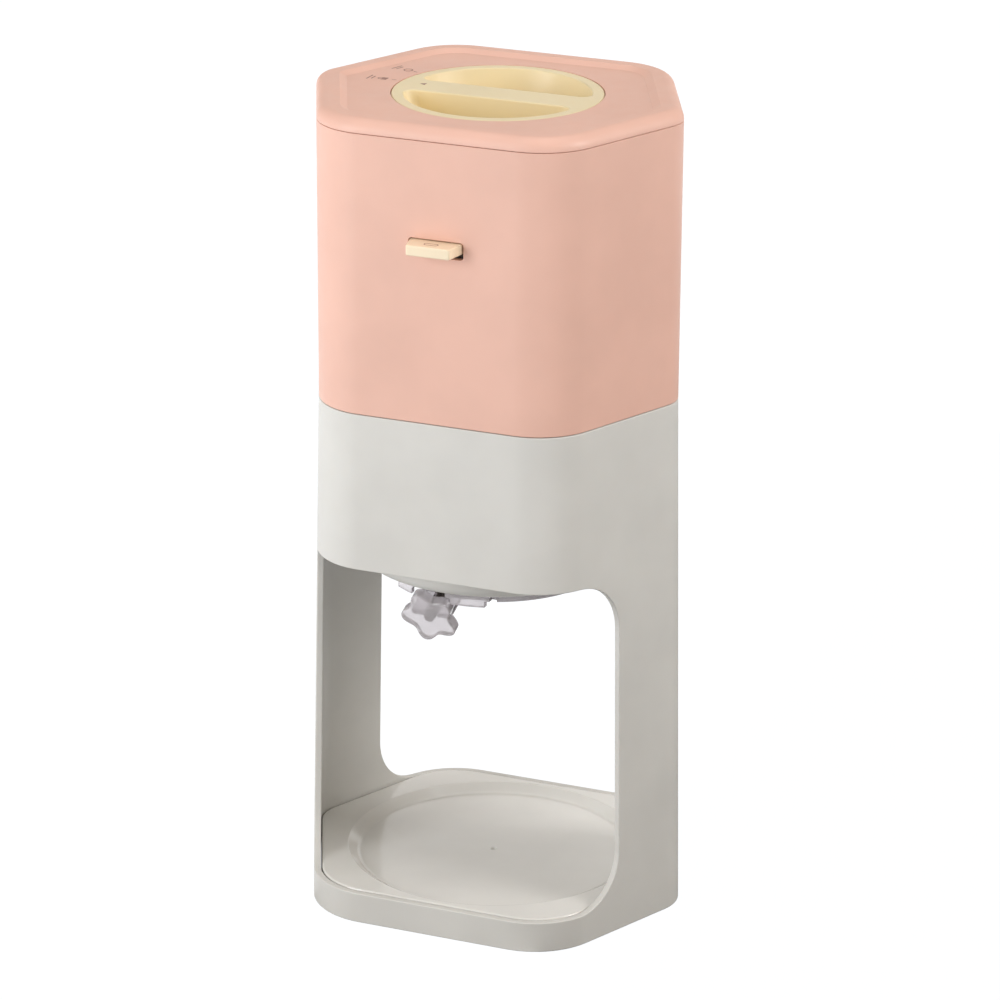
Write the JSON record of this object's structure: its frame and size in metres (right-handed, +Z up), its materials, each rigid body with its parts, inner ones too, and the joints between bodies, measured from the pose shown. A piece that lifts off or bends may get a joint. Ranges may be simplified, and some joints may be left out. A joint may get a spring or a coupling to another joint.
{
  "type": "shaved ice maker",
  "caption": "Tall hexagonal countertop shaved ice maker: lever-switched motor drum with bayonet cap above a fixed blade, standing on two legs over a round-dished tray.",
  "frame": {"origin": "on the drum's vertical axis, at the surface that the feet stand on", "axes": "+Z up along the drum axis, -Y towards the front with the switch lever, +X to the right seen from the front"},
  "size_m": [0.1606, 0.1382, 0.3358],
  "materials": {
    "white_plastic": "satin",
    "tray_plastic": "gloss",
    "pink_plastic": "satin",
    "cream_plastic": "satin",
    "inner_plastic": "satin",
    "gear_plastic": "satin",
    "drum_plastic": "gloss",
    "clear_plastic": "clear gloss",
    "holder_plastic": "satin",
    "blade_steel": "ground",
    "screw_steel": "plain",
    "foot_rubber": "matt",
    "motor_steel": "plated",
    "gearbox_plastic": "satin",
    "board_green": "satin",
    "cell_wrap": "gloss"
  },
  "bodies": {
    "frame": {"base_plate": "inner_plastic", "base_screws": "screw_steel", "battery_cells": "cell_wrap", "cell_holder": "inner_plastic", "charging_socket": "motor_steel", "circuit_board": "board_green", "cover_screws": "screw_steel", "deck_posts": "inner_plastic", "deck_screws": "screw_steel", "drum_bearing": "gear_plastic", "feet": "foot_rubber", "gear_spacers": "inner_plastic", "gearbox": "gearbox_plastic", "lever_bracket": "inner_plastic", "lever_pin": "screw_steel", "lower_chassis": "inner_plastic", "micro_switch": "gearbox_plastic", "motor": "motor_steel", "splash_sleeve": "inner_plastic", "stand": "white_plastic", "throat_ring": "inner_plastic", "top_cover": "pink_plastic", "tray": "tray_plastic", "under_cover": "white_plastic", "upper_chassis": "inner_plastic", "upper_housing": "pink_plastic"},
    "drum": {"ice_drum": "drum_plastic", "ring_gear": "gear_plastic"},
    "pinion": {"motor_pinion": "gear_plastic"},
    "presser_mast": {"presser_spindle": "screw_steel"},
    "cap": {"cap": "cream_plastic", "cap_seal": "foot_rubber"},
    "presser_slider": {"presser_shaft": "drum_plastic", "presser_spring": "screw_steel"},
    "presser_head": {"presser_plate": "drum_plastic", "presser_spikes": "blade_steel"},
    "lever": {"switch_lever": "cream_plastic", "lever_spring": "screw_steel"},
    "case": {"blade_case": "clear_plastic"},
    "knob": {"adjuster_knob": "clear_plastic", "adjuster_screw": "screw_steel"},
    "holder": {"blade_holder": "holder_plastic", "blade": "blade_steel", "blade_screws": "screw_steel"}
  },
  "joints": [
    {"name": "drum_spin", "type": "hinge", "parent": "frame", "child": "drum", "pos_m": [0, 0, 0.19], "axis": [0, 0, 1], "continuous": true},
    {"name": "pinion_spin", "type": "hinge", "parent": "frame", "child": "pinion", "pos_m": [0.0585, 0, 0.19], "axis": [0, 0, 1], "continuous": true},
    {"name": "cap_lift", "type": "slide", "parent": "frame", "child": "presser_mast", "axis": [0, 0, 1], "range_m": [0, 0.06]},
    {"name": "cap_turn", "type": "hinge", "parent": "presser_mast", "child": "cap", "pos_m": [0, 0, 0.33], "axis": [0, 0, 1], "range_deg": [-21, 0]},
    {"name": "presser_rise", "type": "slide", "parent": "presser_mast", "child": "presser_slider", "axis": [0, 0, 1], "range_m": [0, 0.045], "stiffness_N_per_m": 60, "springref_m": -0.02, "deforming": ["presser_spring"]},
    {"name": "presser_spin", "type": "hinge", "parent": "presser_slider", "child": "presser_head", "pos_m": [0, 0, 0.155], "axis": [0, 0, 1], "continuous": true},
    {"name": "lever_press", "type": "hinge", "parent": "frame", "child": "lever", "pos_m": [0, -0.051, 0.2894], "axis": [1, 0, 0], "range_deg": [0, 6], "stiffness_Nm_per_rad": 0.25, "springref_deg": -5.73, "deforming": ["lever_spring"]},
    {"name": "case_drop", "type": "slide", "parent": "frame", "child": "case", "axis": [0, 0, -1], "range_m": [0, 0.03]},
    {"name": "knob_turn", "type": "hinge", "parent": "case", "child": "knob", "pos_m": [-0.0115, -0.043, 0.1275], "axis": [0, -0.9397, -0.342], "range_deg": [-180, 180]},
    {"name": "holder_feed", "type": "slide", "parent": "case", "child": "holder", "axis": [0, 0.9397, 0.342], "range_m": [-0.0005, 0.0005]}
  ],
  "couplings": [
    {"joint": "pinion_spin", "follows": "drum_spin", "ratio": -3.3333},
    {"joint": "holder_feed", "follows": "knob_turn", "m_per_rad": 0.00015915}
  ]
}
